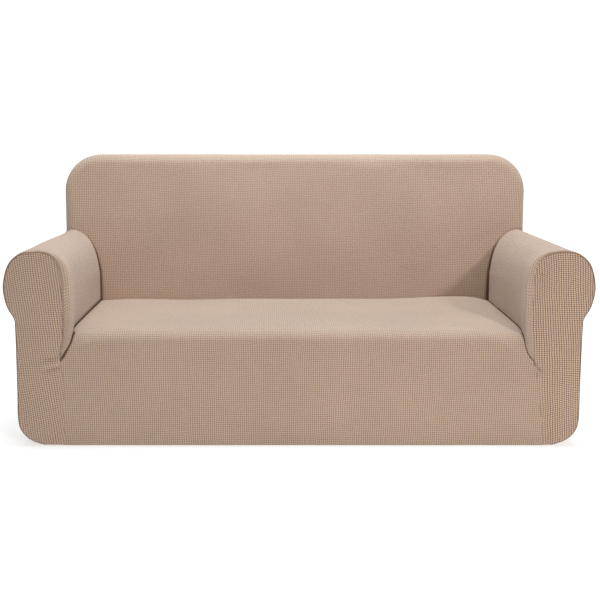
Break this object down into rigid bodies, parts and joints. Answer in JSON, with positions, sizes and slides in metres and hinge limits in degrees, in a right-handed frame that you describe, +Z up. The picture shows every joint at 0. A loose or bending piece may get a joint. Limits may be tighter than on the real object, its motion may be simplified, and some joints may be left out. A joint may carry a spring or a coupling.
{
  "type": "fitted stretch slipcover for a three-seat roll-arm sofa",
  "caption": "Fitted stretch knit cover for a roll-arm sofa: scroll arm fronts, arm wraps, seat with front skirt, inside back and outside back, hollow and open below.",
  "frame": {"origin": "middle of the cover's length and depth, level with its hem", "axes": "+X to the right as the cover is seen from its front, -Y to the front skirt, +Y to the outside back, +Z up"},
  "size_m": [1.9841, 0.8996, 0.982],
  "materials": {
    "knit": "matt small-check stretch knit, sand",
    "knit_front": "matt small-check stretch knit, sand",
    "knit_rear": "matt small-check stretch knit, sand"
  },
  "bodies": {
    "root": {"arm_front_left": "knit_front", "arm_front_right": "knit_front", "arm_wrap_left": "knit", "arm_wrap_right": "knit", "seat_and_skirt": "knit", "inside_back": "knit", "outside_back": "knit_rear"}
  },
  "joints": []
}
